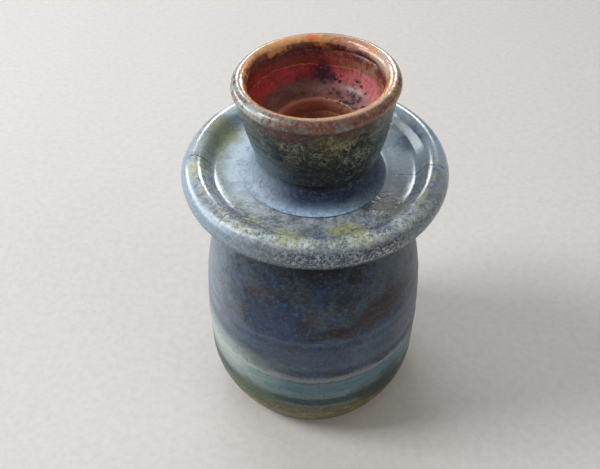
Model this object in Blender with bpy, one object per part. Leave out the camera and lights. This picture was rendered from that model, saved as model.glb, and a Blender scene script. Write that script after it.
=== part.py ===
"""Stoneware bud vase: a squat thrown body, a wide dished flange and a flared neck with a rolled lip.

Eight clay pieces, each turned on the same upright axis, are stacked and keyed into each other the way
luted pottery is: a tongue or a spigot on one piece enters a groove or a socket on the next. The gap left
between two pieces is the room that slip takes. Metres, +Z up, origin at the centre of the foot's flat face.
"""

import math

import bmesh
import bpy

MM = 0.001

# Driving dimensions, in millimetres. A radius is measured from the upright axis, a height from the foot.
SEGMENTS = 40
SLIP_GAP = 0.3
MERGE_DISTANCE = 0.001

FOOT_RADIUS = 30.8
FOOT_INNER_RADIUS = 26.0
FOOT_HEIGHT = 3.0
FOOT_CHAMFER = 0.6
FOOT_TONGUE = (28.4, 30.4)
FOOT_TONGUE_HEIGHT = 1.2

BODY_RADIUS = 37.1
FOOT_CURVE_TOP = 19.0
FOOT_CURVE_POWER = 1.7
SHOULDER_START = 20.0
SHOULDER_TOP = 88.6
SHOULDER_EDGE_RADIUS = 25.0
SHOULDER_CURVE_POWER = 3.0
WALL = 4.5

BASE_EDGE_TOP = 7.0
BASE_BOSS_RADIUS = 29.2
BASE_BOSS_TOP = 9.6
BASE_BOSS_CHAMFER = 0.8
WALL_CURVE_FOOT = 13.0
WALL_CURVE_HEAD = 24.0

SEAM_HEIGHT = 54.0
SEAM_TONGUE_HEIGHT = 4.0
SEAM_TONGUE_RADIUS = 33.2

THROAT_RADIUS = 11.2
SPIGOT_RADIUS = 14.2
SPIGOT_TOP = 107.0
CEILING_HEIGHT = 84.0
CEILING_HAUNCH = (20.5, 83.4)
HAUNCH_FOOT = 80.5
THROAT_FOOT_ROUND = 1.5

FLANGE_RADIUS = 40.0
FLANGE_ROLL = (4.2, 4.6)
FLANGE_ROLL_HEIGHT = 94.6
FLANGE_UNDERCUT = (30.0, 0.6)
DISH_FLOOR_HEIGHT = 94.2
DISH_FLOOR_RADIUS = 27.0
DISH_SLOPE_FOOT = (30.2, 95.2)

WAIST_RADIUS = 17.4
COIL_RADIUS = 22.0
COIL_BEAD = (1.6, 1.4)
COIL_BEAD_HEIGHT = 95.5
COIL_COVE = ((20.0, 97.4), (18.8, 98.5), (18.0, 99.5))
COIL_TOP = 100.4
NECK_TOP = 122.6
NECK_TOP_RADIUS = 22.6
NECK_FLARE_POWER = 0.75
FUNNEL_TOP_RADIUS = 19.6
FUNNEL_WALL = ((18.6, 118.0), (17.0, 113.4), (15.6, 112.2))
THROAT_EDGE_HEIGHT = 110.6
THROAT_EDGE_ROUND = 0.8
LIP_TONGUE = (20.3, 21.3)
LIP_TONGUE_HEIGHT = 1.2

LIP_TUBE_RADIUS = 2.2
LIP_CORE_RADIUS = 21.2
LIP_CORE_HEIGHT = 124.5

# Glaze colours, linear RGB, and roughness.
BARE_CLAY = ((0.155, 0.088, 0.045), 0.75)
CELADON = ((0.185, 0.215, 0.165), 0.45)
SLATE_BLUE = ((0.085, 0.115, 0.155), 0.40)
DARK_SLATE = ((0.045, 0.060, 0.085), 0.40)
POWDER_BLUE = ((0.255, 0.330, 0.400), 0.18)
SKY_BLUE = ((0.180, 0.255, 0.360), 0.20)
GREEN_BLACK = ((0.030, 0.040, 0.038), 0.25)
COPPER_RED = ((0.210, 0.075, 0.045), 0.18)


def arc(centre, radii, start, end, steps):
    """Points along an ellipse from angle start to angle end, in degrees; 0 points outward and 90 upward."""
    points = []
    for i in range(steps + 1):
        angle = math.radians(start + (end - start) * i / steps)
        points.append((centre[0] + radii[0] * math.cos(angle), centre[1] + radii[1] * math.sin(angle)))
    return points


def body_radius(height):
    """Outer radius of the body: it swells out of the foot, stands nearly straight and closes in above."""
    if height < FOOT_CURVE_TOP:
        drop = 1 - height / FOOT_CURVE_TOP
        return BODY_RADIUS - (BODY_RADIUS - FOOT_RADIUS) * drop**FOOT_CURVE_POWER
    if height < SHOULDER_START:
        return BODY_RADIUS
    rise = (height - SHOULDER_START) / (SHOULDER_TOP - SHOULDER_START)
    return BODY_RADIUS - (BODY_RADIUS - SHOULDER_EDGE_RADIUS) * rise**SHOULDER_CURVE_POWER


def body_outline(low, high, steps, inset=0.0):
    """Points up the body's outer side, or up its inner side when an inset is given."""
    points = []
    for i in range(steps + 1):
        height = low + (high - low) * i / steps
        points.append((body_radius(height) - inset, height))
    return points


def turned(name, outline, glaze):
    """A closed outline of (radius, height) spun once round the upright axis, as one solid object."""
    mesh = bpy.data.meshes.new(name)
    bm = bmesh.new()
    corners = [bm.verts.new((radius * MM, 0.0, height * MM)) for radius, height in outline]
    edges = [bm.edges.new((corners[i - 1], corners[i])) for i in range(len(corners))]
    bmesh.ops.spin(
        bm,
        geom=corners + edges,
        axis=(0.0, 0.0, 1.0),
        cent=(0.0, 0.0, 0.0),
        angle=math.tau,
        steps=SEGMENTS,
        use_merge=True,
    )
    bmesh.ops.remove_doubles(bm, verts=bm.verts, dist=MERGE_DISTANCE * MM)
    bmesh.ops.dissolve_degenerate(bm, edges=bm.edges, dist=MERGE_DISTANCE * MM)
    on_axis = [face for face in bm.faces if face.calc_area() < (MERGE_DISTANCE * MM) ** 2]
    bmesh.ops.delete(bm, geom=on_axis, context="FACES")
    bmesh.ops.recalc_face_normals(bm, faces=bm.faces)
    bm.to_mesh(mesh)
    bm.free()
    mesh.shade_smooth()
    mesh.set_sharp_from_angle(angle=math.radians(35))
    mesh.materials.append(material(name, *glaze))
    piece = bpy.data.objects.new(name, mesh)
    bpy.context.scene.collection.objects.link(piece)
    return piece


def material(name, colour, roughness):
    """A plain glaze or bare clay for one piece."""
    made = bpy.data.materials.new(name)
    made.use_nodes = True
    shader = made.node_tree.nodes["Principled BSDF"]
    shader.inputs["Base Color"].default_value = (*colour, 1.0)
    shader.inputs["Roughness"].default_value = roughness
    shader.inputs["Metallic"].default_value = 0.0
    made.diffuse_color = (*colour, 1.0)
    return made


def foot_ring():
    """Turned foot: it stands on a flat ring, and a low tongue on top keys it to the base."""
    tongue_in, tongue_out = FOOT_TONGUE
    tongue_top = FOOT_HEIGHT + FOOT_TONGUE_HEIGHT
    outline = [
        (FOOT_INNER_RADIUS + FOOT_CHAMFER, 0.0),
        (FOOT_RADIUS - FOOT_CHAMFER, 0.0),
        (body_radius(FOOT_CHAMFER), FOOT_CHAMFER),
        (body_radius(FOOT_HEIGHT), FOOT_HEIGHT),
        (tongue_out, FOOT_HEIGHT),
        (tongue_out, tongue_top),
        (tongue_in, tongue_top),
        (tongue_in, FOOT_HEIGHT),
        (FOOT_INNER_RADIUS, FOOT_HEIGHT),
        (FOOT_INNER_RADIUS, FOOT_CHAMFER),
    ]
    return turned("foot_ring", outline, BARE_CLAY)


def base_disc():
    """Floor of the vase: grooved below for the foot's tongue, with a boss above that centres the wall."""
    bottom = FOOT_HEIGHT + SLIP_GAP
    groove_in = FOOT_TONGUE[0] - SLIP_GAP
    groove_out = FOOT_TONGUE[1] + SLIP_GAP
    groove_top = bottom + FOOT_TONGUE_HEIGHT
    outline = [
        (0.0, bottom),
        (groove_in, bottom),
        (groove_in, groove_top),
        (groove_out, groove_top),
        (groove_out, bottom),
        (body_radius(bottom), bottom),
        (body_radius(BASE_EDGE_TOP), BASE_EDGE_TOP),
        (BASE_BOSS_RADIUS, BASE_EDGE_TOP),
        (BASE_BOSS_RADIUS, BASE_BOSS_TOP - BASE_BOSS_CHAMFER),
        (BASE_BOSS_RADIUS - BASE_BOSS_CHAMFER, BASE_BOSS_TOP),
        (0.0, BASE_BOSS_TOP),
    ]
    return turned("base_disc", outline, CELADON)


def body_wall():
    """Thrown cylinder: it stands round the base's boss and ends in a tongue under the shoulder."""
    foot = BASE_EDGE_TOP + SLIP_GAP
    socket = BASE_BOSS_RADIUS + SLIP_GAP
    tongue_top = SEAM_HEIGHT + SEAM_TONGUE_HEIGHT
    outline = body_outline(foot, FOOT_CURVE_TOP, 5)
    outline += body_outline(WALL_CURVE_HEAD, SEAM_HEIGHT, 5)
    outline += [(SEAM_TONGUE_RADIUS, SEAM_HEIGHT), (SEAM_TONGUE_RADIUS, tongue_top)]
    outline.append((body_radius(tongue_top) - WALL, tongue_top))
    outline += reversed(body_outline(WALL_CURVE_FOOT, SEAM_HEIGHT, 4, WALL))
    outline += [(socket, BASE_BOSS_TOP), (socket, foot)]
    return turned("body_wall", outline, SLATE_BLUE)


def shoulder():
    """Closed-in dome, rebated over the wall's tongue, with a spigot that carries the throat up the neck."""
    seam = SEAM_HEIGHT + SLIP_GAP
    rebate_radius = SEAM_TONGUE_RADIUS + SLIP_GAP
    rebate_top = seam + SEAM_TONGUE_HEIGHT
    outline = body_outline(seam, SHOULDER_TOP, 7)
    outline += [
        (SPIGOT_RADIUS, SHOULDER_TOP),
        (SPIGOT_RADIUS, SPIGOT_TOP),
        (THROAT_RADIUS, SPIGOT_TOP),
        (THROAT_RADIUS, CEILING_HEIGHT + THROAT_FOOT_ROUND),
        (THROAT_RADIUS + THROAT_FOOT_ROUND, CEILING_HEIGHT),
        CEILING_HAUNCH,
    ]
    outline += reversed(body_outline(rebate_top, HAUNCH_FOOT, 4, WALL))
    outline += [(rebate_radius, rebate_top), (rebate_radius, seam)]
    return turned("shoulder", outline, DARK_SLATE)


def flange():
    """Dished flange with a rolled rim, seated on the shoulder and centred by the spigot."""
    bore = SPIGOT_RADIUS + SLIP_GAP
    seat = SHOULDER_TOP + SLIP_GAP
    undercut_radius, undercut_depth = FLANGE_UNDERCUT
    roll_centre = (FLANGE_RADIUS - FLANGE_ROLL[0], FLANGE_ROLL_HEIGHT)
    outline = [(bore, seat), (SHOULDER_EDGE_RADIUS, seat), (undercut_radius, seat + undercut_depth)]
    outline += arc(roll_centre, FLANGE_ROLL, -80, 145, 12)
    outline += [DISH_SLOPE_FOOT, (DISH_FLOOR_RADIUS, DISH_FLOOR_HEIGHT), (bore, DISH_FLOOR_HEIGHT)]
    return turned("flange", outline, POWDER_BLUE)


def neck_coil():
    """Coil pressed into the corner between neck and dish, rounded outside and coved into the waist."""
    inner = WAIST_RADIUS + SLIP_GAP
    bottom = DISH_FLOOR_HEIGHT + SLIP_GAP
    centre = (COIL_RADIUS - COIL_BEAD[0], COIL_BEAD_HEIGHT)
    sink = math.degrees(math.asin((COIL_BEAD_HEIGHT - bottom) / COIL_BEAD[1]))
    outline = [(inner, bottom)]
    outline += arc(centre, COIL_BEAD, -sink, 60, 5)
    outline += [*COIL_COVE, (inner, COIL_TOP)]
    return turned("neck_coil", outline, SKY_BLUE)


def neck():
    """Flared cup: a socket slips over the spigot, and a funnel above narrows to the throat."""
    foot = DISH_FLOOR_HEIGHT + SLIP_GAP
    socket = SPIGOT_RADIUS + SLIP_GAP
    ledge = SPIGOT_TOP + SLIP_GAP
    tongue_in, tongue_out = LIP_TONGUE
    tongue_top = NECK_TOP + LIP_TONGUE_HEIGHT
    outline = [(socket, foot), (WAIST_RADIUS, foot), (WAIST_RADIUS, COIL_TOP)]
    flare_steps = 6
    for i in range(1, flare_steps + 1):
        rise = i / flare_steps
        radius = WAIST_RADIUS + (NECK_TOP_RADIUS - WAIST_RADIUS) * rise**NECK_FLARE_POWER
        outline.append((radius, COIL_TOP + (NECK_TOP - COIL_TOP) * rise))
    outline += [
        (tongue_out, NECK_TOP),
        (tongue_out, tongue_top),
        (tongue_in, tongue_top),
        (tongue_in, NECK_TOP),
        (FUNNEL_TOP_RADIUS, NECK_TOP),
        *FUNNEL_WALL,
        (THROAT_RADIUS + THROAT_EDGE_ROUND, THROAT_EDGE_HEIGHT),
        (THROAT_RADIUS, THROAT_EDGE_HEIGHT - THROAT_EDGE_ROUND),
        (THROAT_RADIUS, ledge),
        (socket, ledge),
    ]
    return turned("neck", outline, GREEN_BLACK)


def lip_coil():
    """Rolled lip: a round coil, flat and grooved below, keyed on the neck's top edge."""
    bottom = NECK_TOP + SLIP_GAP
    groove_in = LIP_TONGUE[0] - SLIP_GAP
    groove_out = LIP_TONGUE[1] + SLIP_GAP
    groove_top = bottom + LIP_TONGUE_HEIGHT
    sink = math.degrees(math.asin((LIP_CORE_HEIGHT - bottom) / LIP_TUBE_RADIUS))
    centre = (LIP_CORE_RADIUS, LIP_CORE_HEIGHT)
    radii = (LIP_TUBE_RADIUS, LIP_TUBE_RADIUS)
    outline = arc(centre, radii, -sink, 180 + sink, 14)
    outline += [(groove_in, bottom), (groove_in, groove_top), (groove_out, groove_top), (groove_out, bottom)]
    return turned("lip_coil", outline, COPPER_RED)


for old in list(bpy.data.objects):
    bpy.data.objects.remove(old, do_unlink=True)

for make in (foot_ring, base_disc, body_wall, shoulder, flange, neck_coil, neck, lip_coil):
    make()
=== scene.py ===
# %% [markdown]
# # A mottled stoneware bud vase
# The vase is a hand-thrown pot: a squat body, a wide dished flange round its neck, and a flared neck
# with a rolled lip. A reactive glaze runs over all of it, blue, green and copper red. This lesson turns
# each clay piece on its axis, as a potter would, and then spends most of its effort on the glaze.

# %% Load the frame
import math

import bpy
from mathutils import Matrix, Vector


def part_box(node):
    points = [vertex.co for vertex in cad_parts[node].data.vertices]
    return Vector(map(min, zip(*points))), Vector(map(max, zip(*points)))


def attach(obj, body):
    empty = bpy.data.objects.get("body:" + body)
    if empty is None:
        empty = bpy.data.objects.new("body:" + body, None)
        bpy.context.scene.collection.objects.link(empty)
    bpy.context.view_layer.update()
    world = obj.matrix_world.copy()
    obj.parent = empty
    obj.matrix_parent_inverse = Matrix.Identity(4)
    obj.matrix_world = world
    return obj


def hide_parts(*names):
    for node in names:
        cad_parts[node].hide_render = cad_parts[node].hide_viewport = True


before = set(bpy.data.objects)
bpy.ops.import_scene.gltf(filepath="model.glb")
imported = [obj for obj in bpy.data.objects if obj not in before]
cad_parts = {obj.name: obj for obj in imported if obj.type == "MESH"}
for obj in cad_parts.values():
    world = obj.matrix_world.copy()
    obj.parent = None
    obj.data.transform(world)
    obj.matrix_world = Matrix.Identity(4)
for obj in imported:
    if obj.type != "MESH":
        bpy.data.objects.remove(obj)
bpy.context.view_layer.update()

print("CAD nodes:", ", ".join(sorted(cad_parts)))

# %% [markdown]
# ## Sizes from the frame
# Every finished piece has to fill the place of its CAD node. A turned piece needs only its widest radius
# and its lowest and highest points, which the frame gives. The lesson works in millimetres, because a
# potter does, and a metre is 1000 of them. Clay pieces are joined with slip, a runny clay, and the CAD
# keeps 0.3 mm for it between two pieces.

# %% Read the nodes' sizes
MM = 0.001
SLIP = 0.3


def widest(node):
    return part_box(node)[1][0] / MM


def lowest(node):
    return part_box(node)[0][2] / MM


def highest(node):
    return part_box(node)[1][2] / MM


BELLY = widest("body_wall")
SEAM = lowest("shoulder")
RIM = widest("flange")
DISH_FLOOR = lowest("neck_coil") - SLIP
COIL = widest("neck_coil")
COIL_TOP = highest("neck_coil")
LIP_FOOT = lowest("lip_coil")
LIP_TOP = highest("lip_coil")
LIP = widest("lip_coil")
for word, value in {"belly": BELLY, "seam": SEAM, "rim": RIM, "lip": LIP, "top": LIP_TOP}.items():
    print(f"{word}: {value:.1f} mm")

# %% [markdown]
# ## A potter's wheel
# A thrown pot is the same outline all the way round, so the quickest honest way to model one is a lathe.
# A plane primitive is merged down to a single point, the point is extruded along the outline, and the
# Spin operator sweeps that line once round the axis. Doubles along the join are merged and the normals
# are made to face outwards, since a spin can leave them either way.

# %% Helpers that select and shape
TURN_STEPS = 144
SAME_POINT = 0.0005 * MM


def clear_selection():
    if bpy.context.mode != "OBJECT":
        bpy.ops.object.mode_set(mode="OBJECT")
    bpy.ops.object.select_all(action="DESELECT")


def pick(piece):
    clear_selection()
    piece.select_set(True)
    bpy.context.view_layer.objects.active = piece


def throw(name, outline):
    clear_selection()
    start_radius, start_height = outline[0]
    bpy.ops.mesh.primitive_plane_add(size=MM, location=(start_radius * MM, 0, start_height * MM))
    piece = bpy.context.object
    piece.name = name
    bpy.ops.object.transform_apply(location=True, rotation=True, scale=True)
    bpy.ops.object.mode_set(mode="EDIT")
    bpy.ops.mesh.select_all(action="SELECT")
    bpy.ops.mesh.merge(type="CENTER")
    here = outline[0]
    for there in [*outline[1:], outline[0]]:
        step = ((there[0] - here[0]) * MM, 0, (there[1] - here[1]) * MM)
        bpy.ops.mesh.extrude_region_move(TRANSFORM_OT_translate={"value": step})
        here = there
    bpy.ops.mesh.select_all(action="SELECT")
    bpy.ops.mesh.remove_doubles(threshold=SAME_POINT)
    bpy.ops.mesh.select_all(action="SELECT")
    bpy.ops.mesh.spin(steps=TURN_STEPS, angle=math.tau, center=(0, 0, 0), axis=(0, 0, 1))
    bpy.ops.mesh.select_all(action="SELECT")
    bpy.ops.mesh.remove_doubles(threshold=SAME_POINT)
    bpy.ops.mesh.normals_make_consistent(inside=False)
    bpy.ops.object.mode_set(mode="OBJECT")
    return piece


def steps_between(low, high, spacing):
    count = max(1, round(abs(high - low) / spacing))
    return [low + (high - low) * i / count for i in range(count + 1)]


def arc(centre, radii, start, end, steps):
    angles = [math.radians(start + (end - start) * i / steps) for i in range(steps + 1)]
    return [(centre[0] + radii[0] * math.cos(a), centre[1] + radii[1] * math.sin(a)) for a in angles]


# %% [markdown]
# ## The hand in the clay
# A wheel gives true circles, but fingers, drying and firing pull them a little out of true. Two Displace
# modifiers, one along X and one along Y, push the surface by a tenth or two of a millimetre. They read
# one soft cloud pattern in space, so two pieces that meet are pushed alike and stay together. Heights
# aren't touched, so the foot stays flat.

# %% Helper for hand wobble
def cloud(name, size, depth=1):
    made = bpy.data.textures.new(name, type="CLOUDS")
    made.noise_scale = size * MM
    made.noise_depth = depth
    return made


WOBBLE = {"X": cloud("wobble_across", 26), "Y": cloud("wobble_along", 31)}


def hand_wobble(piece, amount):
    pick(piece)
    for axis, pattern in WOBBLE.items():
        push = piece.modifiers.new("wobble", "DISPLACE")
        push.texture = pattern
        push.texture_coords = "LOCAL"
        push.direction = axis
        push.strength = amount * MM
        push.mid_level = 0.5
        bpy.ops.object.modifier_apply(modifier=push.name)


# %% [markdown]
# The upper pieces of this pot lean by a degree or two. Each is turned in edit mode about a point on the
# axis. Only its rim is chosen, but the whole piece turns: the proportional falloff doesn't hold the foot
# back, and the neck's foot ends about a millimetre off the axis.

# %% Helper that leans a piece
def lean(piece, axis, degrees, height, reach, chosen):
    """Turn a piece about one point of the axis. The corners that weren't chosen turn as well."""
    pick(piece)
    for corner in piece.data.vertices:
        corner.select = chosen(math.hypot(corner.co.x, corner.co.y) / MM, corner.co.z / MM)
    bpy.ops.object.mode_set(mode="EDIT")
    bpy.ops.mesh.select_mode(type="VERT")
    bpy.ops.transform.rotate(
        value=math.radians(degrees),
        orient_axis=axis,
        center_override=(0, 0, height * MM),
        use_proportional_edit=reach > 0,
        proportional_edit_falloff="SMOOTH",
        proportional_size=max(reach, 1) * MM,
    )
    bpy.ops.object.mode_set(mode="OBJECT")


# %% [markdown]
# The last steps are the same for every piece. Fired clay has no sharp edge, so a small bevel rounds them.
# Then the wobble, smooth shading, the glazes, and the node, body and material slot in the frame.

# %% Helper that finishes a piece
def finish_piece(piece, node, glazes, wobble=0.5, soft=0.18):
    pick(piece)
    rounding = piece.modifiers.new("soft_edges", "BEVEL")
    rounding.width = soft * MM
    rounding.segments = 2
    rounding.limit_method = "ANGLE"
    rounding.angle_limit = math.radians(40)
    bpy.ops.object.modifier_apply(modifier=rounding.name)
    hand_wobble(piece, wobble)
    bpy.ops.object.shade_smooth_by_angle(angle=math.radians(50))
    for glaze in glazes:
        piece.data.materials.append(glaze)
    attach(piece, "root")
    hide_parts(node)
    print(f"{piece.name}: {len(piece.data.polygons)} faces")


# %% [markdown]
# ## Reading a place on the pot
# A reactive glaze changes colour where it is thick or thin and where it has run, so the colours follow
# the form: the height above the foot, the distance from the axis, and the turn round it. All three come
# from Object coordinates, in millimetres and degrees. A turn of 0 faces the viewer, along -Y, and grows
# towards +X. The helpers below wrap a few shader nodes each, so that a glaze reads like a recipe: a base
# colour, then one thin colour after another, each laid over the rest where a mask lets it.

# %% Node helpers for places, patterns and layers
MIDDLE_RADIUS = 30


class Recipe:
    """A glaze under way: its node tree, the places on the pot that it can read, and its colour so far."""

    def __init__(self, name, base):
        self.material = bpy.data.materials.new(name)
        self.material.use_nodes = True
        self.tree = self.material.node_tree
        self.shader = self.tree.nodes["Principled BSDF"]
        coordinates = self.node("ShaderNodeTexCoord")
        self.where = self.vector("MULTIPLY", coordinates.outputs["Object"], (1 / MM,) * 3)
        split = self.node("ShaderNodeSeparateXYZ")
        self.feed(self.where, split.inputs[0])
        across, along, self.height = split.outputs
        flat = self.vector("MULTIPLY", self.where, (1, 1, 0))
        self.radius = self.vector("LENGTH", flat)
        toward = self.math("MULTIPLY", along, -1.0)
        self.turn = self.math("MULTIPLY", self.math("ARCTAN2", across, toward), 180 / math.pi)
        self.colour = srgb(*base)

    def node(self, kind, **settings):
        made = self.tree.nodes.new(kind)
        for key, value in settings.items():
            setattr(made, key, value)
        return made

    def feed(self, source, socket):
        if isinstance(source, bpy.types.NodeSocket):
            self.tree.links.new(source, socket)
        else:
            socket.default_value = source

    def math(self, operation, *values):
        made = self.node("ShaderNodeMath", operation=operation)
        for value, socket in zip(values, made.inputs):
            self.feed(value, socket)
        return made.outputs[0]

    def vector(self, operation, *values):
        made = self.node("ShaderNodeVectorMath", operation=operation)
        for value, socket in zip(values, made.inputs):
            self.feed(value, socket)
        return made.outputs["Value" if operation in ("LENGTH", "DOT_PRODUCT") else "Vector"]

    def fade(self, value, start, end, top=1.0):
        """0 at start, and top at end, with a soft foot and a soft shoulder."""
        made = self.node("ShaderNodeMapRange", interpolation_type="SMOOTHSTEP")
        for source, socket in zip((value, start, end, 0.0, top), made.inputs):
            self.feed(source, socket)
        return made.outputs[0]

    def between(self, value, low, high, soft):
        """1 from low to high, and softly 0 outside."""
        rise = self.fade(value, low - soft, low + soft)
        fall = self.fade(value, high + soft, high - soft)
        return self.math("MULTIPLY", rise, fall)

    def both(self, *masks):
        product = masks[0]
        for mask in masks[1:]:
            product = self.math("MULTIPLY", product, mask)
        return product

    def place(self, stretch, shift):
        """The place on the pot, stretched, and shifted so that two patterns differ."""
        return self.vector("MULTIPLY_ADD", self.where, tuple(1 / s for s in stretch), (shift,) * 3)

    def noise(self, place, scale, detail, rough):
        made = self.node("ShaderNodeTexNoise")
        for source, key in ((place, "Vector"), (scale, "Scale"), (detail, "Detail"), (rough, "Roughness")):
            self.feed(source, made.inputs[key])
        return made.outputs[0]

    def swing(self, noise, reach):
        """A noise of 0 to 1 turned into a push of up to reach, either way."""
        return self.math("MULTIPLY_ADD", noise, 2 * reach, -reach)

    def side(self, reach):
        """1 at reach millimetres to the right of the axis and 0 at it; a negative reach looks left."""
        return self.vector("DOT_PRODUCT", self.where, (1 / reach, 0, 0))

    def cloudy(self, size, detail=3.0, rough=0.55, stretch=(1, 1, 1), shift=0.0):
        """A soft noise, about 0.5 on average, whose blotches are size millimetres across."""
        return self.noise(self.place(stretch, shift), 1 / size, detail, rough)

    def spots(self, size, low, high, *noise, **more):
        """Patches of that noise: 0 where it is at low, and 1 at high."""
        return self.fade(self.cloudy(size, *noise, **more), low, high)

    def streaks(self, size, run, detail=3.0, shift=0.0):
        """Noise drawn out down the pot or across the flange: it varies with the turn, hardly with the run."""
        arc_length = self.math("MULTIPLY", self.turn, math.radians(1) * MIDDLE_RADIUS)
        joined = self.node("ShaderNodeCombineXYZ")
        self.feed(self.math("DIVIDE", arc_length, size), joined.inputs[0])
        self.feed(self.math("DIVIDE", self.radius, size * run), joined.inputs[1])
        self.feed(self.math("DIVIDE", self.height, size * run), joined.inputs[2])
        return self.noise(self.vector("ADD", joined.outputs[0], (shift,) * 3), 1.0, detail, 0.6)

    def cells(self, size, feature="F1", shift=0.0, stretch=(1, 1, 1)):
        made = self.node("ShaderNodeTexVoronoi", feature=feature)
        self.feed(self.place(stretch, shift), made.inputs["Vector"])
        made.inputs["Scale"].default_value = 1 / size
        return made.outputs["Distance"]

    def veins(self, size, width, shift=0.0, detail=4.0):
        """Thin wandering lines, where a noise crosses its middle value."""
        noise = self.cloudy(size, detail, 0.6, shift=shift)
        return self.fade(self.math("ABSOLUTE", self.math("SUBTRACT", noise, 0.5)), width, width * 0.2)

    def blot(self, turn, radius, height, size, flat=1.0, ragged=0.35):
        """A soft patch round one place on the pot; flat squashes it in height, ragged breaks its edge."""
        angle = math.radians(turn)
        centre = (radius * math.sin(angle), -radius * math.cos(angle), height)
        offset = self.vector("MULTIPLY", self.vector("SUBTRACT", self.where, centre), (1, 1, flat))
        away = self.vector("LENGTH", offset)
        noise = self.cloudy(size * 0.4, 5, 0.62, shift=turn * 0.1)
        torn = self.math("ADD", away, self.swing(noise, ragged * size))
        return self.fade(torn, size, size * 0.35)

    def lay(self, tint, mask, strength=1.0):
        """One more glaze colour laid over those before it, where the mask says."""
        mix = self.node("ShaderNodeMix", data_type="RGBA")
        if strength != 1.0:
            mask = self.math("MULTIPLY", mask, strength)
        self.feed(mask, mix.inputs[0])
        self.feed(self.colour, mix.inputs[6])
        self.feed(srgb(*tint), mix.inputs[7])
        self.colour = mix.outputs[2]

    def patches(self, places):
        """Soft patches laid one after another: colour, (turn, radius, height), size, flat, strength."""
        for tint, place, size, flat, strength in places:
            self.lay(tint, self.blot(*place, size, flat, 0.5), strength)

    def speckle(self, grain, dark, light, strength):
        """The same grain lays a dark colour in its low places and a light one in its high places."""
        self.lay(dark, self.fade(grain, 0.49, 0.36), strength)
        self.lay(light, self.fade(grain, 0.52, 0.66), strength * 0.8)

    def relief(self, height, depth, onto=None):
        """Bump whose height is in millimetres."""
        made = self.node("ShaderNodeBump")
        made.inputs["Strength"].default_value = 1.0
        made.inputs["Distance"].default_value = depth * MM
        self.feed(height, made.inputs["Height"])
        if onto is not None:
            self.feed(onto, made.inputs["Normal"])
        return made.outputs[0]

    def fire(self, roughness, normal, index=1.52):
        """The finished glaze: colour, gloss and relief go to the shader. A low index is a duller glaze."""
        self.feed(self.colour, self.shader.inputs["Base Color"])
        self.feed(roughness, self.shader.inputs["Roughness"])
        self.feed(normal, self.shader.inputs["Normal"])
        self.shader.inputs["IOR"].default_value = index
        return self.material


def srgb(red, green, blue):
    """A colour as a screen shows it, 0 to 255, turned into the linear values that the shader mixes."""
    linear = []
    for value in (red, green, blue):
        value /= 255
        linear.append(value / 12.92 if value <= 0.04045 else ((value + 0.055) / 1.055) ** 2.4)
    return (*linear, 1.0)

# %% [markdown]
# ## The body's glaze
# The body wears a satin slate blue, broken with brown and mauve where the glaze is thin. Towards the
# foot it changes in bands, because each dip into the bucket ended a little higher or lower: a grey
# line, a teal band, then green and ochre where iron in the clay bleeds through. One recipe serves the
# foot, the floor, the wall and the shoulder, and it reads only places, so it runs on over the joints.

# %% Body glaze
BODY_PATCHES = (
    ((82, 98, 108), (56, 35, 76), 15, 1.0, 0.75),
    ((62, 84, 112), (-30, 35, 80), 9, 1.4, 0.5),
    # painted shade: this near-black patch darkens the shoulder's front under the flange
    ((6, 8, 13), (6, 34, 84), 18, 1.4, 0.95),
    ((40, 60, 92), (14, 36, 72), 8, 1.6, 0.6),
    ((44, 38, 40), (-2, 36, 78), 8, 3.0, 0.7),
    ((88, 68, 68), (-33, 36, 70), 8, 2.0, 0.5),
    ((48, 72, 118), (-20, 36, 60), 12, 1.1, 0.5),
    ((52, 78, 128), (-24, 37, 48), 7, 1.6, 0.45),
    ((48, 74, 126), (2, 37, 46), 6, 1.5, 0.45),
    ((66, 86, 104), (34, 36, 70), 8, 1.8, 0.4),
    ((42, 32, 32), (42, 36, 62), 15, 2.2, 0.92),
    ((36, 28, 30), (12, 36, 57.5), 9, 3.0, 0.92),
    ((62, 40, 32), (26, 36, 60), 5, 1.8, 0.6),
    ((104, 96, 122), (60, 37, 47), 13, 1.7, 0.65),
    ((190, 196, 214), (-66, 37, 50), 7, 2.6, 0.7),
    ((156, 120, 108), (-70, 37, 44), 6, 3.4, 0.6),
)
FOOT_PATCHES = (
    ((130, 164, 158), (-28, 37, 32), 10, 3.0, 0.7),
    ((84, 108, 80), (-36, 36, 21), 15, 2.4, 0.8),
    ((28, 42, 34), (42, 35, 22), 18, 1.8, 0.9),
    ((104, 72, 56), (68, 37, 34), 8, 1.4, 0.5),
    ((146, 118, 92), (-80, 36, 25), 16, 3.2, 0.4),
    ((148, 128, 66), (-40, 33, 12), 9, 1.6, 0.6),
)


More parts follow.
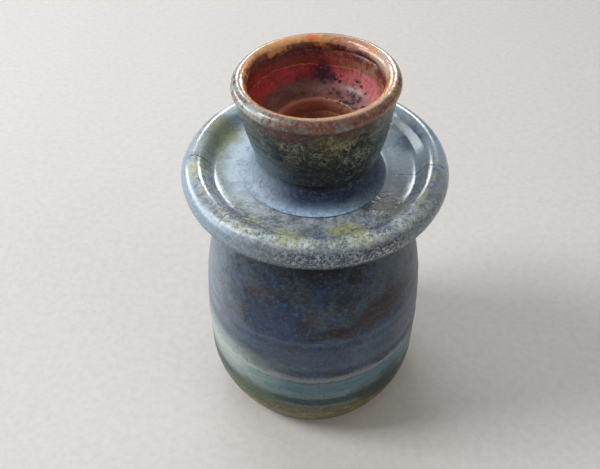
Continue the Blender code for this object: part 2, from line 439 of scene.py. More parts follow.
def body_glaze():
    glaze = Recipe("body_glaze", (48, 60, 74))
    sway = glaze.swing(glaze.cloudy(18, detail=2), 1.6)
    level = glaze.math("ADD", glaze.height, sway)
    fine_sway = glaze.swing(glaze.cloudy(2.4, 5, 0.78), 1.8)
    edge = glaze.math("ADD", level, fine_sway)
    leftward = glaze.side(-37)
    rightward = glaze.math("MULTIPLY", leftward, -1.0)
    tattered = glaze.swing(glaze.cloudy(5, 4, 0.7, shift=29.0), 0.15)
    leftward = glaze.math("ADD", leftward, tattered)

    steel = glaze.spots(11, 0.46, 0.6, 4, 0.6, shift=7.0)
    glaze.lay((76, 96, 112), steel, 0.7)
    deep = glaze.spots(9, 0.5, 0.6, 4, 0.62, shift=23.0)
    glaze.lay((24, 28, 36), deep, 0.75)
    blue = glaze.spots(6, 0.5, 0.6, 5, 0.7, shift=3.0)
    glaze.lay((44, 74, 118), blue, 0.7)
    grain = glaze.cloudy(1.6, 5, 0.8)
    glaze.speckle(grain, (26, 24, 30), (96, 124, 154), 0.35)
    glaze.patches(BODY_PATCHES)
    rust = glaze.both(glaze.spots(5, 0.52, 0.59, 6, 0.75, shift=11.0), glaze.fade(level, 76, 66))
    glaze.lay((64, 44, 42), rust, 0.65)

    # painted light on the body's left side, and a painted sheen on its right side
    glaze.lay((168, 184, 196), glaze.fade(leftward, 0.5, 1.0), 0.85)
    glaze.lay((124, 134, 142), glaze.fade(rightward, 0.6, 1.0), 0.5)

    bands = (
        ((98, 118, 152), 51.6, 53.6, 0.9, 0.4),
        ((88, 106, 130), 39.5, 50.5, 1.8, 0.45),
        ((66, 68, 88), 37.4, 39.6, 0.6, 0.6),
        ((142, 152, 160), 34.0, 36.4, 0.7, 0.75),
        ((100, 130, 138), 0, 33.4, 0.7, 0.85),
        ((74, 116, 140), 28.8, 31.8, 0.7, 0.8),
        ((116, 134, 136), 25.6, 27.4, 0.6, 0.65),
        ((26, 48, 54), 20.4, 24.2, 0.8, 0.9),
        ((94, 88, 34), 0, 19.6, 1.2, 0.95),
    )
    for tint, low, high, soft, strength in bands:
        glaze.lay(tint, glaze.between(edge, low, high, soft), strength)
    # a pale mint band low on the left: partly glaze colour, partly painted light from the left
    mint_and_left_light = glaze.both(glaze.fade(leftward, 0.15, 1.0), glaze.between(level, 27.0, 40.0, 5.5))
    glaze.lay((214, 232, 222), mint_and_left_light, 0.92)
    foot_zone = glaze.fade(edge, 20.5, 17.5)
    mottle = glaze.fade(glaze.cloudy(3, 5, 0.7, stretch=(1.8, 1.8, 1), shift=5.0), 0.49, 0.58)
    glaze.lay((48, 44, 28), glaze.both(foot_zone, mottle), 0.65)
    yellow = glaze.spots(2.4, 0.55, 0.62, 4, 0.7, shift=21.0)
    glaze.lay((168, 150, 60), glaze.both(foot_zone, yellow), 0.65)
    glaze.patches(FOOT_PATCHES)

    thrown = glaze.cloudy(2.4, 3, stretch=(5, 5, 0.7), shift=2.0)
    glaze.lay((38, 44, 52), glaze.fade(thrown, 0.47, 0.36), 0.14)
    glaze.speckle(glaze.cloudy(1.1, 5, 0.8, shift=13.0), (24, 22, 26), (116, 136, 150), 0.4)
    bare = glaze.fade(edge, 4.0, 2.2)
    glaze.lay((104, 76, 56), bare, 0.95)

    gloss = glaze.math("MULTIPLY_ADD", grain, 0.3, 0.22)
    rough = glaze.math("MULTIPLY_ADD", bare, 0.3, gloss)
    normal = glaze.relief(thrown, 0.08)
    normal = glaze.relief(grain, 0.08, normal)
    return glaze.fire(rough, normal, 1.36)


BODY_GLAZE = body_glaze()

# %% [markdown]
# ## The flange's glaze
# The dish holds the thickest glaze, a glossy powder blue. On its slope it has crawled into yellow-green
# patches, and over the front of the rim it breaks into blue, white and straw grains. The rim's outside is
# darker, partly thin glaze and partly painted shade, darkest at the front; on the left it is painted light,
# and the underside is painted dark as shade. Beside the neck it has wrinkled. A few hairline cracks cross
# the slope. Each crack is a thin plane through the axis, bent by a little noise.

# %% Flange glaze
def hairline(glaze, turn, inner, outer, bend, width=0.22):
    """A crack that runs outwards at one turn: the distance to an upright plane, bent by noise."""
    angle = math.radians(turn)
    aside = glaze.vector("DOT_PRODUCT", glaze.where, (math.cos(angle), math.sin(angle), 0))
    ahead = glaze.vector("DOT_PRODUCT", glaze.where, (math.sin(angle), -math.cos(angle), 0))
    wander = glaze.swing(glaze.cloudy(7, 3, shift=turn * 0.3), bend)
    line = glaze.math("ABSOLUTE", glaze.math("ADD", aside, wander))
    thin = glaze.fade(line, width, width * 0.25)
    return glaze.both(thin, glaze.between(ahead, inner, outer, 0.8))


def flange_glaze():
    glaze = Recipe("flange_glaze", (200, 219, 234))
    runs = glaze.streaks(1.0, 5.0, 5.0)
    patches = glaze.cloudy(8, 5, 0.6, shift=4.0)
    grain = glaze.cloudy(1.0, 4, 0.8)
    facing = glaze.vector("DOT_PRODUCT", glaze.where, (0, -1 / 40, 0))
    rightward = glaze.side(40)
    front = glaze.fade(facing, 0.1, 0.6)

    glaze.lay((140, 158, 180), glaze.fade(patches, 0.47, 0.6), 0.6)
    # painted sheen: the right of the dish is painted a lighter blue
    glaze.lay((164, 188, 208), glaze.fade(rightward, 0.2, 0.85), 0.7)
    glaze.lay((160, 168, 176), front, 0.8)
    mauve = glaze.spots(3.5, 0.48, 0.6, 5, 0.7, shift=14.0)
    glaze.lay((124, 126, 140), glaze.both(front, mauve), 0.6)
    glaze.patches((
        ((152, 156, 96), (-118, 33.5, 95), 9, 1.0, 0.8),
        ((146, 158, 124), (-90, 32.5, 95), 8, 1.0, 0.6),
        ((150, 156, 112), (-104, 33, 95), 8, 1.0, 0.7),
        # painted highlight: the pale yellow-white strip on the bead's inner side at the left
        ((222, 224, 178), (-80, 35.6, 98), 5, 1.0, 0.7),
        ((72, 98, 130), (108, 33, 95), 8, 1.0, 0.8),
        ((150, 160, 108), (124, 34, 95), 5, 1.0, 0.75),
        ((140, 162, 190), (68, 33, 95), 9, 1.0, 0.7),
        ((122, 132, 140), (78, 22.5, 94), 6, 1.0, 0.4),
        ((140, 142, 128), (50, 26, 94), 6.5, 1.0, 0.8),
        ((58, 64, 70), (40, 23, 94), 3.5, 1.0, 0.7),
    ))
    folded = glaze.blot(50, 26, 94, 6.5)
    sombre = glaze.spots(2.8, 0.48, 0.56, 6, 0.8, shift=67.0)
    glaze.lay((84, 98, 104), glaze.both(front, sombre), 0.65)
    bright = glaze.spots(3.4, 0.52, 0.6, 6, 0.8, shift=83.0)
    glaze.lay((184, 196, 206), glaze.both(front, bright), 0.5)

    shown = glaze.fade(facing, -0.15, 0.35)
    slope = glaze.both(shown, glaze.between(glaze.radius, 27.5, 37.2, 1.5))
    blotchy = glaze.spots(3.6, 0.5, 0.59, 6, 0.7, shift=9.0)
    glaze.lay((186, 190, 128), glaze.both(slope, blotchy), 0.6)
    glaze.patches((
        ((220, 222, 146), (-14, 33.5, 95), 7, 1.0, 0.75),
        ((186, 190, 124), (-38, 31.5, 94.5), 5, 1.0, 0.65),
        ((188, 190, 112), (16, 30.5, 94.5), 7, 1.0, 0.75),
        ((216, 220, 150), (20, 35.5, 97), 4.5, 1.0, 0.75),
        ((176, 182, 138), (50, 32.5, 95), 5, 1.0, 0.55),
        ((80, 104, 142), (-22, 36.5, 97.5), 4, 1.0, 0.45),
        ((88, 110, 146), (2, 34, 96), 4.5, 1.0, 0.65),
        ((62, 86, 126), (30, 35, 97), 5, 1.0, 0.8),
        ((86, 100, 118), (-2, 28, 94.2), 5, 1.0, 0.45),
    ))
    blue_flecks = glaze.spots(2.2, 0.53, 0.62, 5, 0.75, shift=27.0)
    glaze.lay((84, 106, 142), glaze.both(slope, blue_flecks), 0.6)
    torn = glaze.swing(glaze.cloudy(2.8, 5, 0.75, shift=57.0), 3.0)
    crest = glaze.math("ADD", glaze.radius, torn)
    brow = glaze.both(glaze.between(crest, 35.4, 38.6, 1.0), glaze.fade(facing, 0.4, 0.86))
    pale = glaze.spots(3.6, 0.46, 0.53, 6, 0.82, shift=33.0)
    glaze.lay((216, 232, 232), glaze.both(brow, pale), 0.88)
    glaze.lay((236, 242, 236), glaze.both(brow, glaze.fade(runs, 0.52, 0.62)), 0.3)
    glaze.lay((64, 88, 122), glaze.both(brow, glaze.fade(runs, 0.47, 0.4)), 0.35)
    pepper = glaze.spots(1.2, 0.5, 0.58, 5, 0.8, shift=37.0)
    glaze.lay((58, 82, 120), glaze.both(glaze.math("MAXIMUM", brow, slope), pepper), 0.7)
    straw = glaze.spots(1.8, 0.53, 0.6, 5, 0.8, shift=43.0)
    glaze.lay((214, 214, 128), glaze.both(brow, straw), 0.5)

    torn_height = glaze.math("MULTIPLY_ADD", torn, 0.5, glaze.height)
    # the rim's outside is painted darker, partly thin glaze and partly painted shade, darkest at the front
    outside = glaze.both(glaze.fade(glaze.radius, 37.0, 38.4), glaze.fade(torn_height, 98.4, 96.0))
    glaze.lay((112, 124, 136), outside, 0.8)
    thin_glaze_and_front_shade = glaze.both(outside, glaze.blot(12, 39.5, 95, 29, 1.0, 0.25))
    glaze.lay((46, 60, 78), thin_glaze_and_front_shade, 0.92)
    # painted light: the left of the rim's outside is painted pale blue
    painted_left_rim_light = glaze.both(glaze.fade(rightward, -0.3, -0.75), glaze.fade(glaze.radius, 37.0, 38.6))
    glaze.lay((156, 184, 204), painted_left_rim_light, 0.8)
    frost = glaze.spots(0.9, 0.46, 0.62, 6, 0.85, shift=2.0)
    glaze.lay((216, 230, 240), glaze.both(thin_glaze_and_front_shade, frost), 0.72)
    # painted shade: the flange's underside is painted nearly black
    under = glaze.fade(glaze.height, 93.6, 92.0)
    glaze.lay((38, 44, 48), under, 0.85)
    line = glaze.between(glaze.height, 90.6, 91.3, 0.3)
    glaze.lay((150, 148, 96), line, 0.7)

    glaze.speckle(grain, (70, 78, 92), (222, 230, 234), 0.3)
    cracks = None
    for turn, inner, outer, bend in ((81, 25, 38, 2.2), (-90, 31, 37.5, 1.0), (-43, 27, 38, 2.0)):
        crack = hairline(glaze, turn, inner, outer, bend)
        cracks = crack if cracks is None else glaze.math("MAXIMUM", cracks, crack)
    glaze.lay((36, 40, 46), cracks, 0.85)

    rough = glaze.math("MULTIPLY_ADD", front, 0.07, 0.19)
    rough = glaze.math("MULTIPLY_ADD", glaze.both(front, glaze.fade(grain, 0.5, 0.7)), 0.1, rough)
    rough = glaze.math("MULTIPLY_ADD", folded, 0.2, rough)
    wrinkles = glaze.both(folded, glaze.veins(4.5, 0.06, 3.0, 2.0))
    normal = glaze.relief(glaze.cloudy(7, 2, shift=8.0), 0.1)
    normal = glaze.relief(wrinkles, -0.14, normal)
    normal = glaze.relief(glaze.both(grain, front), 0.05, normal)
    normal = glaze.relief(glaze.math("SUBTRACT", 1.0, cracks), 0.15, normal)
    return glaze.fire(rough, normal)


FLANGE_GLAZE = flange_glaze()

# %% [markdown]
# ## The neck's glazes
# Outside, the neck is a dark green-black with an olive web that runs into rust under the lip. The coil at
# its foot is navy by the neck and pale blue at its edge, where the glaze has pooled. Inside, copper has
# turned the cup crimson. A brown and ochre band lies above that, and where the cup narrows to the throat
# the glaze is a dull brown with dark specks.

# %% Neck and coil glaze, outside
def neck_glaze():
    glaze = Recipe("neck_glaze", (32, 40, 44))
    leftward = glaze.side(-20)
    rightward = glaze.side(20)
    patches = glaze.cloudy(5, 5, 0.65, shift=3.0)
    grain = glaze.cloudy(1.0, 4, 0.8)
    sway = glaze.swing(glaze.cloudy(4, 4, 0.65), 2.0)
    level = glaze.math("ADD", glaze.height, sway)

    glaze.lay((16, 20, 24), glaze.fade(patches, 0.47, 0.56), 0.75)
    # painted light on the neck's left side, and a painted sheen on its right side
    glaze.lay((78, 98, 114), glaze.fade(leftward, 0.35, 1.0), 0.8)
    glaze.lay((62, 74, 80), glaze.fade(rightward, 0.45, 1.0), 0.7)

    haze = glaze.both(glaze.fade(leftward, 0.1, 0.8), glaze.fade(level, 113.0, 102.0))
    glaze.lay((112, 132, 150), haze, 0.85)

    glaze.lay((140, 124, 70), glaze.blot(12, 22.5, 120.5, 8, 1.6, 0.6), 0.75)
    torn = glaze.spots(3.0, 0.46, 0.58, 5, 0.7, shift=6.0)
    web = glaze.math("MAXIMUM", glaze.veins(3.0, 0.035, 6.0), glaze.veins(2.0, 0.03, 17.0))
    web = glaze.both(web, glaze.spots(5, 0.42, 0.54, 4, shift=51.0))
    upper = glaze.fade(level, 106.0, 117.0)
    glaze.lay((182, 182, 142), glaze.both(web, upper), 0.65)
    front = glaze.blot(14, 21, 117, 15, 1.1)
    glaze.lay((104, 98, 64), glaze.both(front, torn, upper), 0.35)
    pits = glaze.spots(1.6, 0.5, 0.42, 4, 0.75, shift=61.0)
    glaze.lay((20, 20, 20), glaze.both(pits, upper), 0.75)
    right_web = glaze.both(web, glaze.fade(rightward, 0.1, 0.6))
    glaze.lay((150, 162, 148), right_web, 0.65)
    rusty = glaze.spots(3, 0.36, 0.5, 5, 0.7, shift=93.0)
    rust = glaze.both(glaze.fade(level, 118.4, 121.4), rusty)
    glaze.lay((78, 48, 40), rust, 0.85)
    glaze.patches((
        ((104, 60, 48), (-26, 22.5, 121.5), 7, 1.6, 0.6),
        ((110, 118, 104), (-70, 22.5, 119), 11, 1.0, 0.7),
        ((96, 96, 78), (58, 22.5, 120), 9, 1.3, 0.6),
    ))

    spread = glaze.math("SUBTRACT", glaze.radius, glaze.math("MULTIPLY", sway, 0.4))
    low = glaze.fade(glaze.height, 101.5, 99.5)
    navy = glaze.both(low, glaze.fade(spread, 17.2, 18.4))
    glaze.lay((42, 54, 90), navy, 0.9)
    edge = glaze.both(low, glaze.fade(spread, 18.8, 21.8))
    glaze.lay((186, 220, 255), edge, 0.95)
    # painted light on the coil's left and painted shade on its right
    pale = glaze.both(low, glaze.fade(leftward, 0.2, 0.9))
    glaze.lay((176, 194, 210), pale, 0.8)
    painted_coil_right_shade = glaze.both(low, glaze.fade(rightward, 0.4, 0.9))
    glaze.lay((76, 88, 106), painted_coil_right_shade, 0.75)
    dots = glaze.spots(1.6, 0.47, 0.57, 6, 0.85, shift=71.0)
    glaze.lay((70, 98, 144), glaze.both(low, dots), 0.45)

    glaze.speckle(grain, (22, 24, 28), (158, 166, 168), 0.4)
    rough = glaze.math("MULTIPLY_ADD", glaze.cloudy(3, 3, shift=5.0), 0.3, 0.14)
    rough = glaze.math("MULTIPLY_ADD", low, 0.28, rough)
    normal = glaze.relief(glaze.cloudy(3.5, 3, shift=2.0), 0.2)
    normal = glaze.relief(web, 0.05, normal)
    normal = glaze.relief(grain, 0.04, normal)
    return glaze.fire(rough, normal, 1.42)


NECK_GLAZE = neck_glaze()

# %% Copper red, inside the cup
def cup_glaze():
    glaze = Recipe("cup_glaze", (192, 66, 70))
    patches = glaze.cloudy(4, 5, 0.65, shift=3.0)
    grain = glaze.cloudy(0.9, 4, 0.8)
    sway = glaze.swing(glaze.cloudy(4, 4, 0.65), 1.4)
    level = glaze.math("ADD", glaze.height, sway)
    rightward = glaze.side(18)
    streaks = glaze.streaks(1.0, 6.0, 4.0, shift=3.0)

    glaze.lay((140, 46, 48), glaze.fade(patches, 0.47, 0.56), 0.7)
    pink = glaze.both(glaze.fade(rightward, 0.1, 0.9), glaze.fade(patches, 0.3, 0.5))
    glaze.lay((236, 152, 156), pink, 0.8)
    glaze.lay((206, 74, 72), glaze.fade(rightward, -0.5, -0.95), 0.7)
    drift = glaze.swing(glaze.cloudy(8, 4, 0.65, shift=53.0), 4.0)
    brown = glaze.fade(glaze.math("ADD", glaze.height, drift), 116.8, 120.0)
    glaze.lay((132, 56, 46), brown, 0.9)
    ochre = glaze.both(brown, glaze.fade(rightward, -0.1, 0.6), glaze.fade(streaks, 0.44, 0.6))
    glaze.lay((200, 136, 92), ochre, 0.65)
    red_runs = glaze.both(brown, glaze.fade(streaks, 0.54, 0.62))
    glaze.lay((176, 66, 52), red_runs, 0.5)
    sage = glaze.both(brown, glaze.fade(rightward, 0.45, 1.0), glaze.fade(patches, 0.44, 0.54))
    glaze.lay((164, 158, 132), sage, 0.7)
    # a dark plum ring under the lip: partly glaze colour, partly painted shade of the bead's undercut
    plum_and_undercut_shade = glaze.both(glaze.fade(level, 120.6, 121.6), glaze.spots(6, 0.42, 0.5, 4, shift=19.0))
    glaze.lay((96, 48, 54), plum_and_undercut_shade, 0.85)
    broken = glaze.spots(7, 0.4, 0.48, 2, shift=31.0)
    fine_line = glaze.both(glaze.between(level, 118.3, 118.5, 0.14), broken)
    glaze.lay((230, 170, 160), fine_line, 0.7)
    weave = glaze.fade(streaks, 0.5, 0.62)
    glaze.lay((96, 30, 44), weave, 0.35)
    glaze.patches((
        ((48, 32, 58), (174, 18, 115.6), 4.2, 0.7, 0.9),
        ((60, 36, 60), (166, 18, 114.2), 3.0, 1.0, 0.8),
        ((70, 40, 60), (-166, 18, 113.6), 3.5, 2.0, 0.6),
        ((224, 130, 140), (128, 18, 115), 5, 1.0, 0.5),
    ))

    slope = glaze.fade(level, 114.8, 112.4)
    glaze.lay((114, 74, 66), slope, 0.9)
    lit = glaze.both(slope, glaze.fade(patches, 0.46, 0.58))
    glaze.lay((146, 108, 104), lit, 0.6)
    rose = glaze.both(slope, glaze.fade(rightward, 0.2, 0.9))
    glaze.lay((170, 118, 128), rose, 0.7)
    throat = glaze.fade(glaze.radius, 12.6, 11.4)
    glaze.lay((186, 128, 106), throat, 0.95)
    glaze.lay((104, 58, 46), glaze.fade(glaze.height, 108, 96), 0.9)
    rings = glaze.both(throat, glaze.fade(glaze.cloudy(1.6, 3, stretch=(6, 6, 1)), 0.5, 0.6))
    glaze.lay((120, 66, 52), rings, 0.2)
    specks = glaze.fade(glaze.cells(2.1, shift=2.0), 0.42, 0.3)
    seen = glaze.both(glaze.between(level, 111.0, 115.8, 0.6), glaze.fade(rightward, -0.8, 0.3))
    busy = glaze.spots(3, 0.38, 0.46, 3, shift=7.0)
    glaze.lay((26, 20, 24), glaze.both(specks, seen, busy), 0.95)
    ragged = glaze.both(glaze.blot(138, 14, 112, 6), glaze.spots(1.5, 0.48, 0.55, 4, 0.75))
    glaze.lay((28, 20, 20), ragged, 0.9)

    glaze.speckle(grain, (50, 22, 26), (214, 150, 146), 0.3)
    rough = glaze.math("MULTIPLY_ADD", slope, 0.2, glaze.math("MULTIPLY_ADD", patches, 0.2, 0.14))
    normal = glaze.relief(glaze.cloudy(4, 3, shift=2.0), 0.25)
    normal = glaze.relief(grain, 0.05, normal)
    return glaze.fire(rough, normal)


CUP_GLAZE = cup_glaze()

# %% Lip glaze
def lip_glaze():
    glaze = Recipe("lip_glaze", (128, 84, 74))
    patches = glaze.cloudy(5, 5, 0.65, shift=3.0)
    mottle = glaze.cloudy(2.6, 5, 0.7, shift=5.0)
    grain = glaze.cloudy(0.9, 4, 0.8)
    sway = glaze.swing(glaze.cloudy(3, 4, 0.65), 0.8)
    level = glaze.math("ADD", glaze.height, sway)
    leftward = glaze.side(-23)
    rightward = glaze.side(23)

    glaze.lay((150, 100, 88), glaze.fade(mottle, 0.48, 0.58), 0.7)
    glaze.lay((118, 126, 118), glaze.fade(patches, 0.52, 0.58), 0.8)
    glaze.lay((84, 46, 38), glaze.spots(2.6, 0.54, 0.64, 5, 0.7, shift=25.0), 0.6)
    silver = glaze.both(glaze.fade(leftward, 0.2, 0.75), glaze.fade(mottle, 0.38, 0.54))
    glaze.lay((170, 184, 180), silver, 0.9)
    moss = glaze.spots(3, 0.53, 0.6, 5, 0.75, shift=47.0)
    glaze.lay((64, 66, 50), moss, 0.6)
    golden = glaze.both(glaze.fade(rightward, 0.5, 0.85), glaze.fade(mottle, 0.46, 0.56))
    glaze.lay((180, 148, 90), golden, 0.8)
    iron = glaze.both(glaze.fade(rightward, 0.3, 0.8), glaze.fade(patches, 0.5, 0.42))
    glaze.lay((96, 84, 60), iron, 0.6)

    inner = glaze.fade(glaze.radius, 21.6, 20.6)
    glaze.lay((238, 168, 106), inner, 0.9)
    glaze.lay((180, 98, 62), glaze.both(inner, glaze.fade(mottle, 0.5, 0.58)), 0.75)
    glaze.patches((
        ((236, 178, 120), (-150, 21.6, 126), 14, 1.0, 0.8),
        ((232, 112, 54), (-177, 21.3, 126), 3, 1.0, 0.85),
        ((158, 148, 96), (170, 21.5, 126), 3, 1.0, 0.75),
        ((190, 140, 124), (146, 22, 126), 9, 1.0, 0.8),
        # painted highlight: a pale patch on the lip's inner crest at the right
        ((206, 190, 180), (104, 20.5, 126), 9, 1.0, 0.7),
        ((170, 160, 100), (-138, 22.6, 126), 3, 1.0, 0.6),
    ))
    # the bead's lower inside is dark plum: partly glaze colour, partly painted shade of its undercut
    low_inside_undercut_shade = glaze.both(glaze.fade(glaze.radius, 20.9, 20.2), glaze.fade(level, 125.7, 124.9))
    dark_side = glaze.spots(6, 0.42, 0.5, 4, shift=41.0)
    glaze.lay((94, 48, 52), glaze.both(low_inside_undercut_shade, dark_side), 0.85)
    foot = glaze.both(glaze.fade(level, 124.2, 123.0), glaze.fade(glaze.radius, 21.4, 22.0))
    glaze.lay((76, 50, 42), foot, 0.7)
    # painted highlight: a pale cream line along the top of the lip
    crest = glaze.both(glaze.fade(glaze.height, 126.3, 126.62), glaze.between(glaze.radius, 20.7, 21.7, 0.3))
    glaze.lay((214, 196, 172), crest, 0.6)
    glaze.speckle(grain, (56, 42, 38), (206, 190, 176), 0.4)

    rough = glaze.math("MULTIPLY_ADD", mottle, 0.2, 0.1)
    normal = glaze.relief(patches, 0.2)
    normal = glaze.relief(grain, 0.015, normal)
    return glaze.fire(rough, normal)


LIP_GLAZE = lip_glaze()

# %% [markdown]
# ## The inside of the body
# Down in the body the pot was only rinsed with a thin liner glaze, and the foot's face was wiped clean so
# that it wouldn't stick to the kiln shelf. Both are plain brown stoneware finishes with a little speckle.

# %% Liner and bare clay
def clay(name, base, dark, rough_low, depth):
    glaze = Recipe(name, base)
    grain = glaze.cloudy(0.7, 4, 0.7)
    glaze.lay(dark, glaze.spots(5, 0.45, 0.62, 4), 0.6)
    specks = glaze.fade(glaze.cells(1.8), 0.24, 0.14)
    glaze.lay((44, 30, 24), specks, 0.8)
    glaze.lay(dark, glaze.fade(grain, 0.44, 0.3), 0.6)
    rough = glaze.math("MULTIPLY_ADD", grain, 0.3, rough_low)
    return glaze.fire(rough, glaze.relief(grain, depth))


LINER = clay("liner", (128, 100, 78), (92, 66, 50), 0.25, 0.06)
BARE_CLAY = clay("bare_clay", (164, 124, 92), (126, 88, 62), 0.6, 0.1)
print("glazes:", ", ".join(sorted(made.name for made in bpy.data.materials)))

# %% [markdown]
# ## The outline of the body
# The body swells out of its foot, then closes in, slowly at first and faster under the flange. A power
# curve gives the swell and another the shoulder. The potter's fingers leave rings as they climb the
# wall, so a small ripple is added to the radius, with a ridge and two hollows between the glaze's bands,
# and a slight ledge where the shoulder was joined on.

# %% Body outline
FOOT_RADIUS = 30.3
FOOT_INNER = 26.0
FOOT_TOP = 3.15
BASE_TOP = 7.15
BOSS_RADIUS = 29.2
BOSS_TOP = 9.6
SWELL_TOP = 19.0
SHOULDER_START = 20.0
SHOULDER_TOP = 88.75
SHOULDER_EDGE = 25.0
WALL = 4.5
RING_SPACING = 0.8


def plain_radius(height):
    if height < SWELL_TOP:
        return BELLY - (BELLY - FOOT_RADIUS) * (1 - height / SWELL_TOP) ** 1.7
    if height < SHOULDER_START:
        return BELLY
    rise = (height - SHOULDER_START) / (SHOULDER_TOP - SHOULDER_START)
    return BELLY - (BELLY - SHOULDER_EDGE) * min(1, rise) ** 3


def finger_rings(height):
    climb = min(1, height / 12) * min(1, max(0, (86 - height) / 10))
    rings = 0.03 * math.sin(height * 1.05) + 0.015 * math.sin(height * 2.3 + 1.2)
    ridge = 0.16 * math.exp(-(((height - 35.2) / 1.6) ** 2))
    ridge -= 0.14 * math.exp(-(((height - 39.4) / 1.8) ** 2))
    ridge -= 0.1 * math.exp(-(((height - 29.5) / 1.4) ** 2))
    ledge = 0.12 / (1 + math.exp(-(height - SEAM) / 0.5)) * math.exp(-max(0, height - SEAM) / 6)
    return climb * (rings + ridge + ledge)


def body_outline(low, high, inset=0.0):
    return [
        (plain_radius(h) + (0 if inset else finger_rings(h)) - inset, h)
        for h in steps_between(low, high, RING_SPACING)
    ]


for height in (0, 30, 80):
    print(f"radius at {height} mm: {plain_radius(height):.1f} mm")

# %% [markdown]
# ## Foot ring and floor
# The foot is a low ring, turned when the clay was leather-hard. It carries a tongue that enters a groove
# under the floor, which is how the frame's nodes are keyed. The floor's edge shows as part of the wall.

# %% Foot ring
KEY_INNER = 28.4
KEY_OUTER = 30.4
KEY_TOP = 4.2
foot_outline = [(FOOT_INNER + 0.6, 0), (FOOT_RADIUS - 0.6, 0)]
foot_outline += body_outline(0.5, FOOT_TOP)
foot_outline += [(KEY_OUTER, FOOT_TOP), (KEY_OUTER, KEY_TOP), (KEY_INNER, KEY_TOP), (KEY_INNER, FOOT_TOP)]
foot_outline += [(FOOT_INNER, FOOT_TOP), (FOOT_INNER, 0.6)]
foot = throw("turned_foot", foot_outline)
finish_piece(foot, "foot_ring", [BODY_GLAZE], soft=0.05)

# %% Floor
FLOOR_UNDERSIDE = 3.3
floor_outline = [(0, FLOOR_UNDERSIDE), (KEY_INNER - SLIP, FLOOR_UNDERSIDE)]
floor_outline += [(KEY_INNER - SLIP, KEY_TOP + SLIP)]
floor_outline += [(KEY_OUTER + SLIP, KEY_TOP + SLIP), (KEY_OUTER + SLIP, FOOT_TOP)]
floor_outline += body_outline(FOOT_TOP, BASE_TOP)
floor_outline += [(BOSS_RADIUS, BASE_TOP), (BOSS_RADIUS, BOSS_TOP - 0.8)]
floor_outline += [(BOSS_RADIUS - 0.8, BOSS_TOP), (0, BOSS_TOP)]
floor = throw("vase_floor", floor_outline)
finish_piece(floor, "base_disc", [BODY_GLAZE, LINER, BARE_CLAY], soft=0.05)

# %% [markdown]
# ## One piece, several finishes
# A piece can carry more than one finish: the wall is glazed outside and only lined inside. The faces are
# picked in code by where their centres lie, and the chosen slot is assigned to them in edit mode.


# %% Helper that gives some faces another finish
def coat_faces(piece, slot_index, chosen):
    pick(piece)
    bpy.ops.object.mode_set(mode="EDIT")
    bpy.ops.mesh.select_all(action="DESELECT")
    bpy.ops.object.mode_set(mode="OBJECT")
    count = 0
    for face in piece.data.polygons:
        centre = face.center / MM
        face.select = chosen(math.hypot(centre.x, centre.y), centre.z, face.normal.z)
        count += face.select
    bpy.ops.object.mode_set(mode="EDIT")
    piece.active_material_index = slot_index
    bpy.ops.object.material_slot_assign()
    bpy.ops.object.mode_set(mode="OBJECT")
    print(f"{piece.name}: {count} faces in {piece.material_slots[slot_index].name}")


coat_faces(floor, 1, lambda radius, height, up: height > BASE_TOP + 0.3 and radius < 30)
coat_faces(floor, 2, lambda radius, height, up: up < -0.9)
foot.data.materials.append(BARE_CLAY)
coat_faces(foot, 1, lambda radius, height, up: up < -0.9 or radius < FOOT_INNER + 0.7)

# %% [markdown]
# ## Wall and shoulder
# The wall is the thrown cylinder, open at both ends. The shoulder is the dome above it: its rebate drops
# over the wall's tongue, and a spigot at its top carries the throat up through the flange and the neck.

# %% Wall
TONGUE_RADIUS = 33.2
SEAM_LINE = SEAM - SLIP / 2
TONGUE_TOP = SEAM_LINE + 4.0
wall_outline = body_outline(BASE_TOP, SEAM_LINE)
wall_outline += [(TONGUE_RADIUS, SEAM_LINE), (TONGUE_RADIUS, TONGUE_TOP)]
wall_outline += [(plain_radius(TONGUE_TOP) - WALL, TONGUE_TOP)]
wall_outline += reversed(body_outline(13.0, SEAM_LINE, WALL))
wall_outline += [(BOSS_RADIUS + SLIP, BOSS_TOP), (BOSS_RADIUS + SLIP, BASE_TOP)]
wall = throw("thrown_wall", wall_outline)
finish_piece(wall, "body_wall", [BODY_GLAZE, LINER], soft=0.05)
coat_faces(wall, 1, lambda radius, height, up: radius < plain_radius(height) - 0.7 * WALL)

# %% Shoulder
THROAT = 11.2
SPIGOT = 14.2
SPIGOT_TOP = highest("shoulder")
CEILING = 84.0
shoulder_outline = body_outline(SEAM_LINE, SHOULDER_TOP)
shoulder_outline += [(SPIGOT, SHOULDER_TOP), (SPIGOT, SPIGOT_TOP)]
shoulder_outline += [(THROAT, SPIGOT_TOP), (THROAT, CEILING + 1.5)]
shoulder_outline += [(THROAT + 1.5, CEILING), (20.5, CEILING - 0.6)]
shoulder_outline += reversed(body_outline(TONGUE_TOP + 0.2, 80.5, WALL))
shoulder_outline += [(TONGUE_RADIUS + 0.2, TONGUE_TOP + 0.2), (TONGUE_RADIUS + 0.2, SEAM_LINE)]
shoulder = throw("closed_shoulder", shoulder_outline)
finish_piece(shoulder, "shoulder", [BODY_GLAZE, LINER, CUP_GLAZE], soft=0.05)
coat_faces(shoulder, 1, lambda radius, height, up: radius < plain_radius(height) - 0.7 * WALL)
coat_faces(shoulder, 2, lambda radius, height, up: radius < SPIGOT and height > CEILING + 1)

# %% [markdown]
# ## Flange
# The flange is a shallow dish. Its rim is rolled over into a thick round bead, which keeps it from
# warping and catches the light. From the floor the dish sweeps up slowly, then a tight cove turns it into
# the short slope below the bead. The sweep is nearly flat, so a window shows in it as a broad glint, and
# the whole flange leans a little to the front and to the left.

# %% Flange
ROLL = (4.2, 4.6)
ROLL_HEIGHT = 94.6
ROLL_CORE = RIM - ROLL[0]
BEAD_FOOT_ANGLE = 140
COVE_RADIUS = 4.2
DISH_RADIUS = 20.0
DISH_TILT = 15
FLANGE_LEAN = 1.0


